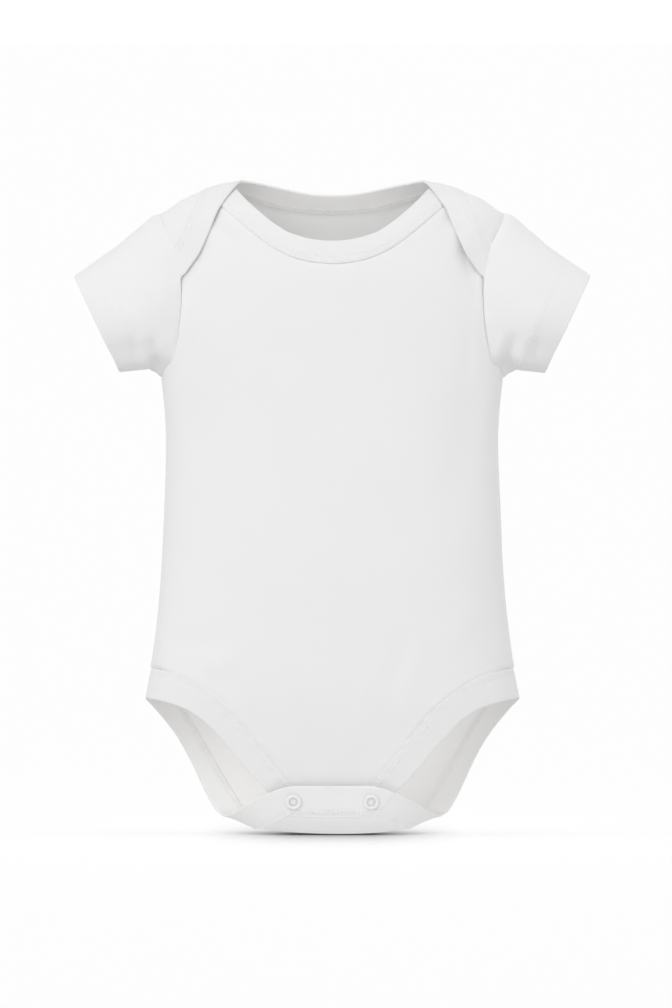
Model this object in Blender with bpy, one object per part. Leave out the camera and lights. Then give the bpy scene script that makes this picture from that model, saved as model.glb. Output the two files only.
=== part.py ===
"""Baby onesie: a short-sleeved bodysuit with lap shoulders and a snapped crotch flap, filled out with no wearer.

Metres, +Z up. The front faces -Y and +X is the viewer's right. The origin is on the centre line, in the middle of
the neck hole, level with the high points of the shoulders. Tables are in millimetres; "drop" is the distance below
the origin's level.
"""

import math

import bmesh
import bpy
from mathutils import Vector
from mathutils.geometry import intersect_ray_tri, normal

MM = 0.001
FRONT, BACK = -1, 1

# driving sizes, in millimetres
PANEL_THICKNESS = 1.2
BINDING_PROUD = 0.4
BINDING_THICKNESS = 2.0
EDGE_ROUNDING = 0.3
SLEEVE_HEM_THICKNESS = 2.2
SEAM_GAP = 0.3

# how deep the front lies under the edge of the back's lap and well under it, and how long it takes to get there
LAP_EDGE_INSET, LAP_FULL_INSET, LAP_EASE_LENGTH = 2.4, 3.5, 14.0

# the roundness of the body's level sections, and the depth and share of width of the point that they are drawn from
SECTION_POWER = 2.3
HEART_DEPTH, HEART_WIDTH_SHARE = 24.0, 0.8

# how finely the pieces are divided: points between a curve's own points, columns from the right armhole to the
# shoulder's ridge and on to the centre line, rows, and halvings in a search
CURVE_FINESSE = 12
COLUMNS_TO_RIDGE, COLUMNS_TO_CENTRE, RIDGE_CROWDING = 6, 9, 1.5
COLUMNS = COLUMNS_TO_RIDGE + COLUMNS_TO_CENTRE
LEG_SEAM_COLUMNS = 11
ROWS_TO_LEG_SEAM = 6
BINDING_STEPS = 2
SEARCH_STEPS = 40

# how far in from an armhole the rows of a panel bend to meet it, as a share of the panel's width
SIDE_REACH = 0.32

# the body's level sections: drop, half width, front depth, back depth
BODY_SECTIONS = [
    (0.0, 56.0, 0.0, 0.0),
    (0.9, 62.0, 6.0, 6.0),
    (1.7, 68.2, 8.2, 8.2),
    (3.6, 74.4, 11.9, 12.0),
    (6.8, 80.6, 16.2, 16.6),
    (11.5, 93.0, 21.0, 21.8),
    (20.8, 107.0, 27.5, 28.8),
    (37.0, 108.2, 33.0, 35.0),
    (60.0, 108.6, 38.5, 38.2),
    (90.0, 108.0, 41.5, 38.0),
    (122.8, 105.6, 43.5, 37.0),
    (136.0, 103.4, 44.2, 36.6),
    (155.0, 102.6, 45.0, 36.0),
    (198.0, 103.9, 47.0, 36.2),
    (236.0, 105.1, 48.2, 37.8),
    (260.0, 107.0, 47.8, 40.0),
    (280.0, 109.5, 47.0, 42.2),
    (302.4, 112.8, 45.6, 45.4),
    (320.0, 116.9, 43.4, 46.0),
    (340.0, 118.0, 38.6, 45.0),
    (360.0, 118.0, 32.8, 41.0),
    (384.0, 118.0, 26.6, 30.0),
    (402.0, 118.0, 20.6, 10.0),
]
ARMPIT_DROP = 122.8

# level rows of the body between hips and armpits
TORSO_DROPS = (283.0, 260.0, 234.0, 206.0, 178.0, 150.0)

# the armholes in front view, from the shoulder tip to the armpit: half width, drop
ARMHOLE_FRONT = [(107.0, 20.8), (103.0, 31.0), (97.2, 42.0), (93.9, 61.5), (93.5, 78.0), (94.6, 92.0), (97.0, 104.0),
                 (100.0, 114.5), (105.6, 122.8)]
ARMHOLE_BACK = [(107.0, 20.8), (103.5, 31.0), (99.8, 42.0), (96.3, 61.5), (95.0, 78.0), (95.6, 92.0), (97.6, 104.0),
                (100.4, 114.5), (105.6, 122.8)]
ARMHOLE_STEPS = (3, 2, 6)
ARMHOLE_STOPS = (0, 2, 3, 8)

# neck edges and seams, from the centre to the ridge and from the ridge to the other armhole: half width, drop
BACK_NECK_EDGE = [(0.0, 9.3), (12.4, 8.7), (24.8, 6.5), (37.2, 3.7), (49.6, 1.0), (56.0, 0.0)]
BACK_LAP_EDGE = [(56.0, 0.0), (61.7, 5.0), (69.1, 14.3), (73.5, 25.2), (81.5, 43.6), (93.9, 61.5)]
LAP_EDGE_PAST_ARMHOLE = (106.0, 72.0)
BACK_NECK_SEAM = [(0.0, 21.5), (20.0, 20.2), (40.0, 15.8), (58.0, 9.4), (70.0, 7.4), (80.6, 6.8)]
BACK_LAP_SEAM = [(80.6, 6.8), (84.0, 12.0), (88.0, 22.0), (97.2, 42.0)]
FRONT_NECK_EDGE = [(0.0, 37.2), (15.0, 35.7), (30.0, 30.4), (45.0, 19.2), (55.7, 8.6), (62.0, 0.9)]
FRONT_LAP_EDGE = [(62.0, 0.9), (67.5, 8.0), (72.5, 20.0), (80.0, 36.0), (96.3, 61.5)]
FRONT_NECK_SEAM = [(0.0, 51.5), (15.0, 49.9), (30.0, 45.4), (45.0, 35.7), (60.4, 22.9), (68.7, 15.0), (80.6, 6.8)]
FRONT_LAP_SEAM = [(80.6, 6.8), (85.0, 13.0), (90.5, 25.0), (99.8, 42.0)]

# the front's leg seam and leg edge, from the hip to the front's end: half width and drop of each
FRONT_LEG_ROWS = [
    (112.8, 302.4, 116.7, 321.0),
    (103.5, 303.3, 109.5, 321.6),
    (93.2, 306.5, 101.4, 323.2),
    (77.0, 315.6, 85.1, 330.0),
    (60.8, 329.6, 68.9, 345.0),
    (44.6, 349.6, 53.4, 364.2),
    (28.8, 368.8, 41.6, 376.8),
    (22.6, 378.4, 39.0, 379.2),
]
# the back's leg seam and leg edge beside the hip: half width, depth and drop of each
BACK_HIP_ROWS = [
    (110.6, 13.0, 304.4, 115.4, 9.0, 323.0),
    (105.4, 22.3, 311.0, 111.2, 16.4, 327.6),
]
# the back below the hips, round the crotch and up the flap: centre depth and drop, seam half width, depth and drop,
# leg edge half width, depth and drop, and the sweep in degrees of the section's round from centre to seam
BACK_LEG_ROWS = [
    (45.6, 328.0, 97.6, 29.8, 321.4, 104.6, 23.2, 335.4, 66.0),
    (44.9, 341.0, 89.2, 35.0, 334.0, 98.0, 28.6, 344.2, 60.0),
    (42.6, 354.0, 81.4, 37.2, 347.6, 91.8, 31.6, 354.4, 55.0),
    (38.8, 366.0, 74.2, 36.0, 360.6, 86.6, 31.4, 364.8, 51.0),
    (33.4, 377.5, 67.4, 32.0, 372.4, 82.0, 27.8, 374.8, 48.0),
    (25.4, 388.8, 60.4, 25.4, 383.8, 77.4, 21.2, 384.4, 46.0),
    (14.2, 398.4, 54.4, 14.4, 393.6, 72.4, 11.0, 391.8, 45.0),
    (1.6, 404.2, 50.6, 2.0, 400.0, 67.6, 0.0, 394.8, 45.0),
    (-10.5, 405.4, 47.8, -9.6, 402.0, 62.8, -11.2, 393.4, 45.0),
    (-19.4, 403.0, 42.4, -18.6, 400.8, 56.0, -21.0, 388.4, 45.0),
    (-25.6, 398.8, 34.8, -25.4, 397.0, 47.4, -28.0, 383.0, 45.0),
    (-29.4, 393.8, 27.0, -29.4, 392.8, 38.0, -32.0, 378.6, 45.0),
]
FRONT_END_DROP, FRONT_END_HALF_WIDTH = 396.0, 36.6
FLAP_END_DROP, FLAP_END_DEPTH = 374.5, -34.2
FLAP_CORNER_SQUARENESS = 0.22

# the sleeves: the cuff's two ends in front view, the hem, the shares of the way to it that rings lie at, and how
# the tube rises over the armhole's seam at the shoulder, lifts off it under the arm and swells between seam and cuff
CUFF_TOP, CUFF_BOTTOM = (160.6, 58.9), (132.0, 120.0)
CUFF_HALF_DEPTH = 22.0
SLEEVE_HEM = 18.0
SLEEVE_RINGS_TO_HEM = (0.0, 0.12, 0.35, 0.65, 0.96)
SLEEVE_HEM_STEP = 0.02
SLEEVE_CAP_RISE, SLEEVE_CAP_PLACE, SLEEVE_CAP_SPREAD = 2.6, 5.0, 4.5
UNDERARM_RISE, UNDERARM_PLACE, UNDERARM_SPREAD = 3.4, 7.5, 6.0
RISE_RUN_UP = 3.0
SLEEVE_SWELL = 4.0

# the snaps: the band's column that each sits on, and each part's closed profile of radius and height
SNAP_COLUMN, SNAP_SIDES, SNAP_CLEARANCE = 4, 16, 0.5
CAP_PROFILE = [(2.5, 0.0), (4.8, 0.0), (4.9, 0.4), (4.3, 0.9), (3.0, 0.9), (2.5, 0.5)]
SOCKET_PROFILE = [(1.9, 0.0), (4.3, 0.0), (4.3, 0.6), (3.4, 1.1), (1.9, 1.1)]
STUD_PROFILE = [(0.6, 0.0), (4.3, 0.0), (4.3, 0.4), (1.5, 0.7), (1.4, 1.4), (0.6, 1.4)]
BACK_RING_PROFILE = [(2.5, 0.0), (4.8, 0.0), (4.8, 0.4), (4.2, 0.8), (2.5, 0.8)]

WHITE_JERSEY = (0.86, 0.865, 0.87, 1.0)
WHITE_BINDING = (0.88, 0.885, 0.89, 1.0)
WHITE_SNAP = (0.90, 0.905, 0.91, 1.0)


def clear_scene():
    for thing in list(bpy.data.objects):
        bpy.data.objects.remove(thing, do_unlink=True)


def make_material(name, colour, roughness):
    material = bpy.data.materials.new(name)
    material.use_nodes = True
    shader = material.node_tree.nodes["Principled BSDF"]
    shader.inputs["Base Color"].default_value = colour
    shader.inputs["Roughness"].default_value = roughness
    shader.inputs["Metallic"].default_value = 0.0
    material.diffuse_color = colour
    return material


# ---- curves and tables ----

def read_table(table, key):
    """One row of a table, read between its rows by the first column."""
    if key <= table[0][0]:
        return table[0][1:]
    for low, high in zip(table, table[1:]):
        if key <= high[0]:
            share = (key - low[0]) / (high[0] - low[0])
            return tuple(a + (b - a) * share for a, b in zip(low[1:], high[1:]))
    return table[-1][1:]


def smooth_curve(points):
    """A Catmull-Rom curve through the points, as a fine polyline."""
    points = [Vector(p) for p in points]
    padded = [2 * points[0] - points[1], *points, 2 * points[-1] - points[-2]]
    fine = []
    for a, b, c, d in zip(padded, padded[1:], padded[2:], padded[3:]):
        for step in range(CURVE_FINESSE):
            t = step / CURVE_FINESSE
            fine.append(0.5 * (2 * b + (c - a) * t + (2 * a - 5 * b + 4 * c - d) * t * t
                               + (3 * b - a - 3 * c + d) * t * t * t))
    return [*fine, points[-1]]


def along(fine, steps, crowding=1.0):
    """steps + 1 points along a fine polyline, evenly spaced or crowded towards its start."""
    lengths = [0.0]
    for a, b in zip(fine, fine[1:]):
        lengths.append(lengths[-1] + (b - a).length)
    places, index = [], 0
    for step in range(steps + 1):
        target = lengths[-1] * (step / steps) ** crowding
        while index < len(fine) - 2 and lengths[index + 1] < target:
            index += 1
        span = max(lengths[index + 1] - lengths[index], 1e-9)
        places.append(fine[index].lerp(fine[index + 1], min(1.0, (target - lengths[index]) / span)))
    return places


def smoothstep(low, high, value):
    share = min(1.0, max(0.0, (value - low) / (high - low)))
    return share * share * (3 - 2 * share)


# ---- the body's surface ----

def on_body(half_width, drop, side):
    """The point of the body's surface seen at this place from the front or the back."""
    width, front, back = read_table(BODY_SECTIONS, drop)
    depth = front if side == FRONT else back
    round_off = max(0.0, 1 - min(1.0, abs(half_width) / width) ** SECTION_POWER) ** (1 / SECTION_POWER)
    return Vector((half_width, side * depth * round_off, -drop))


def outside_body(point):
    """Above nought outside the body's surface and below it inside."""
    if point.z >= 0:
        return 1.0
    width, front, back = read_table(BODY_SECTIONS, -point.z)
    depth = max(front if point.y < 0 else back, 1e-6)
    return (abs(point.x) / width) ** SECTION_POWER + (abs(point.y) / depth) ** SECTION_POWER - 1


def drawn_to_body(point):
    """The body's surface on the ray to the point from inside the shoulder."""
    heart = Vector((HEART_WIDTH_SHARE * point.x, 0.0, min(point.z, 0.0) - HEART_DEPTH))
    near, far = 0.0, 2.0
    for _ in range(SEARCH_STEPS):
        middle = (near + far) / 2
        if outside_body(heart + (point - heart) * middle) > 0:
            far = middle
        else:
            near = middle
    return heart + (point - heart) * near


def body_curve(front_view_points, side):
    return [on_body(x, drop, side) for x, drop in front_view_points]


def lap_distance(point):
    """How far a point lies past the edge of the back's lap, towards the shoulder; below nought clear of it."""
    if point.y > 0:
        return LAP_EASE_LENGTH * 2
    x, drop = abs(point.x), -point.z
    corners = [*BACK_LAP_EDGE, LAP_EDGE_PAST_ARMHOLE]
    best, sign = math.inf, 1
    for (ax, ad), (bx, bd) in zip(corners, corners[1:]):
        run = (bx - ax, bd - ad)
        share = ((x - ax) * run[0] + (drop - ad) * run[1]) / (run[0] ** 2 + run[1] ** 2)
        share = min(1.0, max(0.0, share))
        off = (x - ax - run[0] * share, drop - ad - run[1] * share)
        distance = math.hypot(*off)
        if distance < best:
            best, sign = distance, 1 if off[0] * run[1] - off[1] * run[0] > 0 else -1
    return best * sign


def lap_inset(point):
    """How deep the front lies under the back's lap."""
    distance = lap_distance(point)
    return (LAP_EDGE_INSET * smoothstep(-LAP_EASE_LENGTH, 0, distance)
            + (LAP_FULL_INSET - LAP_EDGE_INSET) * smoothstep(0, LAP_EASE_LENGTH, distance))


# ---- grids of points ----

def mirrored(points):
    return [Vector((-p.x, p.y, p.z)) for p in points]


def armhole_curve(table, side):
    """The armhole from the shoulder tip to the armpit, with points at its corners with the laps."""
    curve = smooth_curve(body_curve(table, side))
    points = []
    for start, stop, steps in zip(ARMHOLE_STOPS, ARMHOLE_STOPS[1:], ARMHOLE_STEPS):
        points += along(curve[start * CURVE_FINESSE:stop * CURVE_FINESSE + 1], steps)[:-1]
    points.append(curve[-1])
    return [points[0], *[drawn_to_body(p) for p in points[1:-1]], points[-1]]


def neck_curve(neck, lap, side):
    """A neck edge or seam from the armhole on the right, over the ridge, to the centre."""
    points = [*body_curve(neck, side), *body_curve(lap[1:], -side)]
    whole = smooth_curve([mirrored(points)[1], *points])[CURVE_FINESSE:]
    turn = (len(neck) - 1) * CURVE_FINESSE
    over = along(whole[turn:], COLUMNS_TO_RIDGE, RIDGE_CROWDING)[::-1]
    across = along(whole[:turn + 1][::-1], COLUMNS_TO_CENTRE)
    return [over[0], *[drawn_to_body(p) for p in (*over[1:-1], *across[:-1])], across[-1]]


def mirrored_grid(rows):
    """The left piece for a right one, with its columns turned so that it still faces out."""
    return [mirrored(line)[::-1] for line in rows]


def whole_row(right_half):
    """A row from the right side to the left one, from its right half that ends at the centre."""
    return [*right_half, *mirrored(right_half[:-1])[::-1]]


def level_row(drop, side):
    """The body's section at this drop, from the right side seam to the left one."""
    width, front, back = read_table(BODY_SECTIONS, drop)
    depth = front if side == FRONT else back
    right_half = []
    for column in range(COLUMNS + 1):
        angle = math.pi / 2 * (1 - column / COLUMNS)
        right_half.append(Vector((width * math.sin(angle) ** (2 / SECTION_POWER),
                                  side * depth * max(0.0, math.cos(angle)) ** (2 / SECTION_POWER), -drop)))
    return whole_row(right_half)


def swept_row(columns, centre_depth, centre_drop, seam_width, seam_depth, seam_drop, sweep):
    """A row of the lower back from its centre and its seam, rounded as far as the sweep says."""
    reach = math.radians(sweep)
    full_width = math.sin(reach) ** (2 / SECTION_POWER)
    full_turn = 1 - math.cos(reach) ** (2 / SECTION_POWER)
    right_half = []
    for column in range(columns + 1):
        angle = reach * (1 - column / columns)
        turn = (1 - math.cos(angle) ** (2 / SECTION_POWER)) / full_turn
        right_half.append(Vector((seam_width * math.sin(angle) ** (2 / SECTION_POWER) / full_width,
                                  centre_depth + (seam_depth - centre_depth) * turn,
                                  -centre_drop - (seam_drop - centre_drop) * turn)))
    return whole_row(right_half)


def rows_between(upper, lower, count, draw):
    """The rows between two rows, without the two themselves."""
    rows = []
    for step in range(1, count):
        between = [a.lerp(b, step / count) for a, b in zip(upper, lower)]
        rows.append([drawn_to_body(p) for p in between] if draw else between)
    return rows


def even_pairs(seam, edge, steps):
    """The leg's seam and edge through matched points, sampled together, evenly along the seam."""
    seam, edge = smooth_curve(seam), smooth_curve(edge)
    lengths = [0.0]
    for a, b in zip(seam, seam[1:]):
        lengths.append(lengths[-1] + (b - a).length)
    picks = [min(range(len(seam)), key=lambda n: abs(lengths[n] - lengths[-1] * step / steps))
             for step in range(steps + 1)]
    return [seam[n] for n in picks], [edge[n] for n in picks]


def patch_rows(bottom, top, right, left):
    """Rows from bottom to top, bent to the two sides near them and drawn to the body's surface."""
    last_row, last_column = len(right) - 1, len(bottom) - 1
    rows = [bottom]
    for i in range(1, last_row):
        straight = [low.lerp(high, i / last_row) for low, high in zip(bottom, top)]
        row = [right[i]]
        for j in range(1, last_column):
            u = j / last_column
            bent = (straight[j] + (right[i] - straight[0]) * (1 - smoothstep(0, SIDE_REACH, u))
                    + (left[i] - straight[-1]) * (1 - smoothstep(0, SIDE_REACH, 1 - u)))
            row.append(drawn_to_body(bent))
        rows.append([*row, left[i]])
    return [*rows, top]


def upper_panel(side, armhole, far_armhole, seam):
    """The panel above the armpits, with the lap that goes over the ridge to the far armhole."""
    right = [*armhole[::-1], *far_armhole[1:ARMHOLE_STEPS[0] + 1]]
    return patch_rows(level_row(ARMPIT_DROP, side), whole_row(seam), right, mirrored(right))


def binding_grid(edge, seam, draw=True):
    """Rows from an edge to a seam, drawn to the body's surface between them."""
    rows = [edge]
    for step in range(1, BINDING_STEPS):
        between = [a.lerp(b, step / BINDING_STEPS) for a, b in zip(edge, seam)]
        rows.append([drawn_to_body(p) for p in between] if draw else between)
    return [*rows, seam]


def sleeve_grid(front_armhole, back_armhole):
    """Rings of the right sleeve, each from the shoulder tip down the front and up the back to it again."""
    ring = [*front_armhole, *back_armhole[-2::-1]]
    half = len(front_armhole) - 1
    top, bottom = Vector((CUFF_TOP[0], 0, -CUFF_TOP[1])), Vector((CUFF_BOTTOM[0], 0, -CUFF_BOTTOM[1]))
    middle, upward = (top + bottom) / 2, (top - bottom) / 2
    rows = [[] for _ in range(len(SLEEVE_RINGS_TO_HEM) + 2)]
    for index, root in enumerate(ring):
        angle = math.pi * index / half
        mouth = middle + upward * math.cos(angle) - Vector((0, CUFF_HALF_DEPTH * math.sin(angle), 0))
        length = (mouth - root).length
        hem_place = 1 - SLEEVE_HEM / length
        places = [hem_place * share for share in SLEEVE_RINGS_TO_HEM] + [hem_place + SLEEVE_HEM_STEP, 1.0]
        upper, under = max(0.0, math.cos(angle)) ** 2, max(0.0, -math.cos(angle)) ** 2
        for row, place in zip(rows, places):
            reach = place * length
            cap = SLEEVE_CAP_RISE * math.exp(-((reach - SLEEVE_CAP_PLACE) / SLEEVE_CAP_SPREAD) ** 2)
            lift = UNDERARM_RISE * math.exp(-((reach - UNDERARM_PLACE) / UNDERARM_SPREAD) ** 2)
            raised = min(1.0, reach / RISE_RUN_UP) * (cap * upper + lift * under)
            swell = SLEEVE_SWELL * math.sin(math.pi * place) * math.sin(angle)
            row.append(root.lerp(mouth, place) + Vector((0, -swell, raised)))
    return rows


def flap_end_row(last_panel_row, corner):
    """The flap's free end, straight across with round corners."""
    row = []
    for point in last_panel_row:
        share = abs(point.x) / abs(last_panel_row[0].x)
        bend = max(0.0, (share - 1 + 2 * FLAP_CORNER_SQUARENESS) / (2 * FLAP_CORNER_SQUARENESS)) ** 2
        start = Vector((math.copysign(corner.x, point.x) * share, FLAP_END_DEPTH, -FLAP_END_DROP))
        row.append(Vector((start.x, start.y + (corner.y - FLAP_END_DEPTH) * bend,
                           start.z + (corner.z + FLAP_END_DROP) * bend)))
    return row


# ---- walls ----

def place_key(point):
    return tuple(round(c, 3) + 0.0 for c in point)


def joined(grids):
    """One surface from grids that share points: its points, its faces, and each point's grid row."""
    points, faces, numbers, row_of = [], [], {}, []
    for rows in grids:
        grid = []
        for i, line in enumerate(rows):
            for point in line:
                if place_key(point) not in numbers:
                    numbers[place_key(point)] = len(points)
                    points.append(point)
                    row_of.append(i)
            grid.append([numbers[place_key(point)] for point in line])
        for upper, lower in zip(grid, grid[1:]):
            for j in range(len(upper) - 1):
                faces.append((upper[j], upper[j + 1], lower[j + 1], lower[j]))
    return points, faces, row_of


def point_directions(points, faces):
    """The outward direction at each point, from the faces round it."""
    directions = [Vector((0, 0, 0)) for _ in points]
    for a, b, c, d in faces:
        across = (points[c] - points[a]).cross(points[d] - points[b])
        for corner in (a, b, c, d):
            directions[corner] += across
    return [direction.normalized() for direction in directions]


def pulled_in(points, faces, directions):
    """The points with the free edges drawn in, square to each edge, by half the seam gap."""
    sides = {(f[k], f[(k + 1) % 4]) for f in faces for k in range(4)}
    following = {a: b for a, b in sides if (b, a) not in sides}
    moved = list(points)
    for before, here in following.items():
        after = following[here]
        first = directions[here].cross(points[here] - points[before]).normalized()
        second = directions[here].cross(points[after] - points[here]).normalized()
        moved[here] = points[here] + (first + second) * (SEAM_GAP / 2 / max(1 + first.dot(second), 0.5))
    return moved, following


def wall_object(name, points, faces, directions, outer, inner, material):
    """A closed wall round a surface, from its outer to its inner offset at each point.

    A face starts at the corner that its diagonal leaves from, the same one on both sides of the wall, and left of the
    centre line the next one, so that the facets mirror those on the right.
    """
    points, following = pulled_in(points, faces, directions)
    mesh = bmesh.new()
    out, back = [[mesh.verts.new((p + d * o) * MM) for p, d, o in zip(points, directions, offsets)]
                 for offsets in (outer, inner)]
    for face in faces:
        if sum(points[n].x for n in face) < 0:
            face = (*face[1:], face[0])
        mesh.faces.new([out[n] for n in face])
        mesh.faces.new([back[n] for n in (face[0], *face[:0:-1])])
    for a, b in following.items():
        mesh.faces.new((out[b], out[a], back[a], back[b]))
    return add_object(name, mesh, material)


def add_object(name, mesh, material):
    data = bpy.data.meshes.new(name)
    mesh.to_mesh(data)
    mesh.free()
    data.shade_smooth()
    data.set_sharp_from_angle(angle=math.radians(40))
    data.materials.append(material)
    thing = bpy.data.objects.new(name, data)
    bpy.context.scene.collection.objects.link(thing)
    return thing


def snap_part(name, profile, place, direction, material):
    """A part of a snap: a closed profile of radius and height, turned about the snap's axis."""
    mesh = bmesh.new()
    rings = []
    for radius, height in profile:
        ring = []
        for step in range(SNAP_SIDES):
            angle = 2 * math.pi * step / SNAP_SIDES
            ring.append(mesh.verts.new(Vector((radius * math.cos(angle), radius * math.sin(angle), height)) * MM))
        rings.append(ring)
    for lower, upper in zip(rings, [*rings[1:], rings[0]]):
        for j in range(SNAP_SIDES):
            k = (j + 1) % SNAP_SIDES
            mesh.faces.new((lower[j], lower[k], upper[k], upper[j]))
    bmesh.ops.recalc_face_normals(mesh, faces=mesh.faces)
    thing = add_object(name, mesh, material)
    thing.location = place * MM
    thing.rotation_mode = "QUATERNION"
    thing.rotation_quaternion = direction.to_track_quat("Z", "Y")
    return thing


# ---- the garment ----

def build_grids():
    """The outer surface of every cloth piece, as grids whose rows and columns turn the same way round."""
    armhole_front = armhole_curve(ARMHOLE_FRONT, FRONT)
    armhole_back = armhole_curve(ARMHOLE_BACK, BACK)
    front_seam = neck_curve(FRONT_NECK_SEAM, FRONT_LAP_SEAM, FRONT)
    back_seam = neck_curve(BACK_NECK_SEAM, BACK_LAP_SEAM, BACK)
    front_seam[0], back_seam[0] = armhole_back[ARMHOLE_STEPS[0]], armhole_front[ARMHOLE_STEPS[0]]

    # neck bindings, from the free edge to the seam, with their ends on the armholes
    lap_end = sum(ARMHOLE_STEPS[:2])
    back_edge = neck_curve(BACK_NECK_EDGE, BACK_LAP_EDGE, BACK)
    front_edge = neck_curve(FRONT_NECK_EDGE, FRONT_LAP_EDGE, FRONT)
    back_edge[0], front_edge[0] = armhole_front[lap_end], armhole_back[lap_end]
    neck_back = binding_grid(whole_row(back_edge), whole_row(back_seam))
    neck_front = binding_grid(whole_row(front_edge), whole_row(front_seam))
    for rows, armhole in ((neck_back, armhole_front), (neck_front, armhole_back)):
        for step in range(1, BINDING_STEPS):
            rows[step][0] = armhole[lap_end - step]
            rows[step][-1] = mirrored([armhole[lap_end - step]])[0]

    # leg seams and edges on the right, from the hip along the front and from the hip along the back
    leg_seam, leg_edge = even_pairs([on_body(row[0], row[1], FRONT) for row in FRONT_LEG_ROWS],
                                    [on_body(row[2], row[3], FRONT) for row in FRONT_LEG_ROWS], LEG_SEAM_COLUMNS)
    leg_edge[0].y = 0.0
    hip_seam = [leg_seam[0], *[Vector((row[0], row[1], -row[2])) for row in BACK_HIP_ROWS]]
    hip_edge = [Vector((row[3], row[4], -row[5])) for row in BACK_HIP_ROWS]
    lower_back = [swept_row(COLUMNS - len(hip_seam), *row[:5], row[8]) for row in BACK_LEG_ROWS]
    back_leg_edge = [Vector((row[5], row[6], -row[7])) for row in BACK_LEG_ROWS]
    leg = binding_grid([*reversed(leg_edge), *hip_edge, *back_leg_edge],
                       [*reversed(leg_seam), *hip_seam[1:], *[line[0] for line in lower_back]], draw=False)

    # panels, from the top row down
    end_columns = COLUMNS - LEG_SEAM_COLUMNS
    end_width, end_drop = FRONT_LEG_ROWS[-1][:2]
    front_end = [on_body(end_width * (1 - step / end_columns), end_drop, FRONT) for step in range(1, end_columns + 1)]
    front_low = whole_row([*leg_seam, *front_end])
    front_torso = [level_row(drop, FRONT) for drop in reversed(TORSO_DROPS)]
    front = [*upper_panel(FRONT, armhole_front, armhole_back, front_seam)[::-1], *front_torso,
             *rows_between(front_torso[-1], front_low, ROWS_TO_LEG_SEAM, draw=True), front_low]
    back_low = [*hip_seam, *lower_back[0], *mirrored(hip_seam)[::-1]]
    back_torso = [level_row(drop, BACK) for drop in TORSO_DROPS]
    back = [back_low, *rows_between(back_low, back_torso[0], ROWS_TO_LEG_SEAM, draw=True), *back_torso,
            *upper_panel(BACK, armhole_back, armhole_front, back_seam)]

    # the bands across the flap's end and, under it, across the front's end and its leg bindings
    flap_band = binding_grid(flap_end_row(lower_back[-1], back_leg_edge[-1]), lower_back[-1], draw=False)
    binding_end = [line[0] for line in leg[:-1]]
    end_seam = [*binding_end, *front_low[LEG_SEAM_COLUMNS:-LEG_SEAM_COLUMNS], *mirrored(binding_end)[::-1]]
    free_end = [on_body(p.x * FRONT_END_HALF_WIDTH / end_seam[0].x, FRONT_END_DROP, FRONT) for p in end_seam]
    front_band = binding_grid(free_end, end_seam, draw=False)[::-1]
    sleeve = sleeve_grid(armhole_front, armhole_back)
    return {
        "front": [front],
        "back": [back, lower_back[::-1]],
        "neck_binding_front": [neck_front],
        "neck_binding_back": [neck_back[::-1]],
        "leg_binding_right": [leg],
        "leg_binding_left": [mirrored_grid(leg)],
        "flap_band": [flap_band],
        "front_end_band": [front_band],
        "sleeve_right": [sleeve],
        "sleeve_left": [mirrored_grid(sleeve)],
    }


def wall_offsets(name, points, row_of):
    """How far the wall's outer and inner faces stand off a piece's surface at each point."""
    last_row = max(row_of)
    free_row = last_row if name in ("neck_binding_back", "front_end_band") else 0
    outer, inner = [], []
    for point, row in zip(points, row_of):
        if name in ("front", "back"):
            out, thick = 0.0, PANEL_THICKNESS
        elif name.startswith("sleeve"):
            out, thick = 0.0, SLEEVE_HEM_THICKNESS if row >= len(SLEEVE_RINGS_TO_HEM) else PANEL_THICKNESS
        elif row == free_row:
            out, thick = BINDING_PROUD - EDGE_ROUNDING, BINDING_THICKNESS - 2 * EDGE_ROUNDING
        else:
            out, thick = BINDING_PROUD, BINDING_THICKNESS
        if name in ("front", "neck_binding_front"):
            out -= lap_inset(point)
        outer.append(out)
        inner.append(out - thick)
    return outer, inner


def build_cloth(jersey, binding):
    """Every cloth piece; where walls meet at a seam they end along one shared direction, a seam gap apart.

    Gives the seats of the snaps on the flap's band, and the surface of the band under it.
    """
    surfaces = {name: joined(grids) for name, grids in build_grids().items()}
    directions = {name: point_directions(points, faces) for name, (points, faces, _) in surfaces.items()}
    shared = {}
    for name, (points, _, _) in surfaces.items():
        for point, direction in zip(points, directions[name]):
            key = place_key(point)
            shared[key] = shared.get(key, Vector((0, 0, 0))) + direction
    for name, (points, faces, row_of) in surfaces.items():
        turned = [shared[place_key(point)].normalized() for point in points]
        outer, inner = wall_offsets(name, points, row_of)
        material = jersey if name in ("front", "back", "sleeve_left", "sleeve_right") else binding
        wall_object(name, points, faces, turned, outer, inner, material)
    points, _, row_of = surfaces["flap_band"]
    middle = [n for n, row in enumerate(row_of) if row == 1]
    seats = [(points[n], directions["flap_band"][n]) for n in (middle[SNAP_COLUMN], middle[-1 - SNAP_COLUMN])]
    return seats, surfaces["front_end_band"][:2]


def seat_under(surface, place, out):
    """Where the line from a place, against its direction, meets a surface, and the surface's direction there."""
    points, faces = surface
    for a, b, c, d in faces:
        for corners in ((a, b, c), (a, c, d)):
            triangle = [points[n] for n in corners]
            seat = intersect_ray_tri(*triangle, -out, place)
            if seat:
                return seat, normal(triangle)
    raise ValueError("nothing lies under the snap")


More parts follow.
